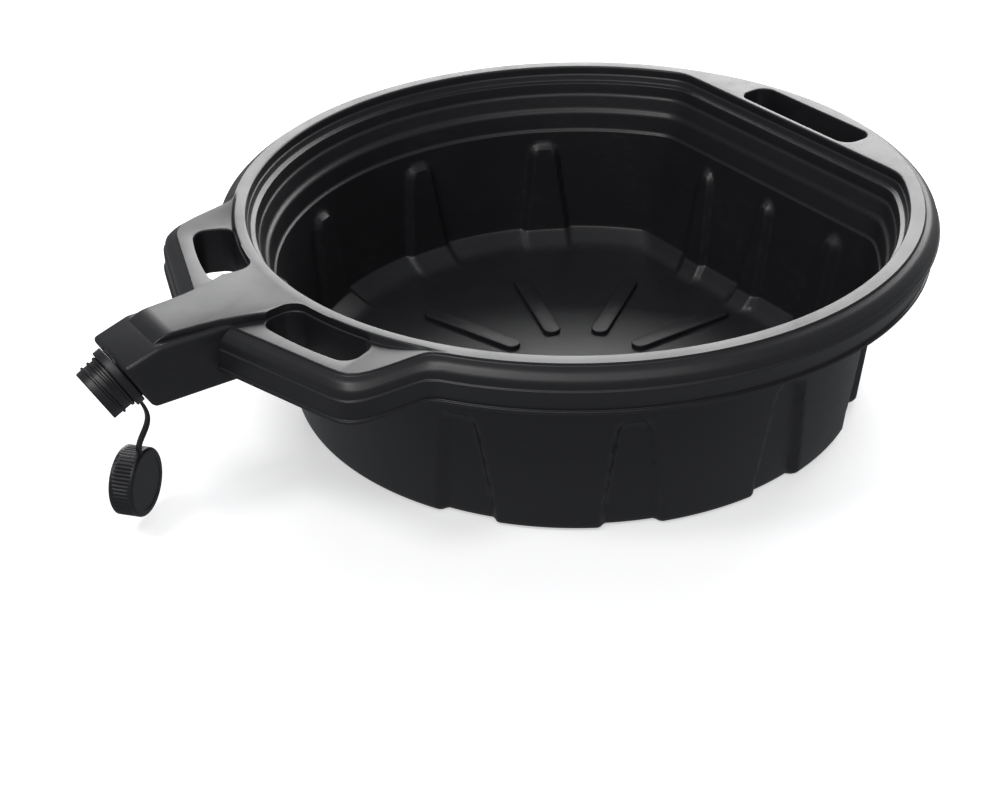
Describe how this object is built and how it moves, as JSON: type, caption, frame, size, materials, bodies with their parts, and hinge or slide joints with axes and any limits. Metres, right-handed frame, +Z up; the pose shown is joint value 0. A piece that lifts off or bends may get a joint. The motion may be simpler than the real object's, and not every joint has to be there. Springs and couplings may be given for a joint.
{
  "type": "oil drain pan",
  "caption": "Round black plastic oil drain pan with stepped rim, fluted wall, three slotted grips, a boxed pouring spout and a tethered screw cap.",
  "frame": {"origin": "centre of the bowl's flat underside, on the ground", "axes": "+Z up through the bowl's opening; the spout points along -X and the rear grip lies at +X; +Y completes the frame"},
  "size_m": [0.629, 0.506, 0.148],
  "materials": {
    "pan_plastic": "satin black moulded polyethylene with a fine grain",
    "cap_plastic": "satin black moulded polyethylene",
    "seal_rubber": "matt black rubber"
  },
  "bodies": {
    "pan": {"pan_body": "pan_plastic"},
    "ring": {"tether_ring": "cap_plastic"},
    "strap": {"tether_strap": "cap_plastic"},
    "cap": {"spout_cap": "cap_plastic", "cap_seal": "seal_rubber"}
  },
  "joints": [
    {"name": "ring_turn", "type": "hinge", "parent": "pan", "child": "ring", "pos_m": [-0.35093, 0, 0.11793], "axis": [-0.8944, 0, -0.4472], "continuous": true},
    {"name": "strap_swing", "type": "hinge", "parent": "ring", "child": "strap", "pos_m": [-0.3402, 0, 0.09647], "axis": [0, 1, 0], "range_deg": [-60, 50]},
    {"name": "cap_twist", "type": "hinge", "parent": "strap", "child": "cap", "pos_m": [-0.3458, 0, 0.06065], "axis": [0, 0, 1], "range_deg": [-90, 90]}
  ]
}
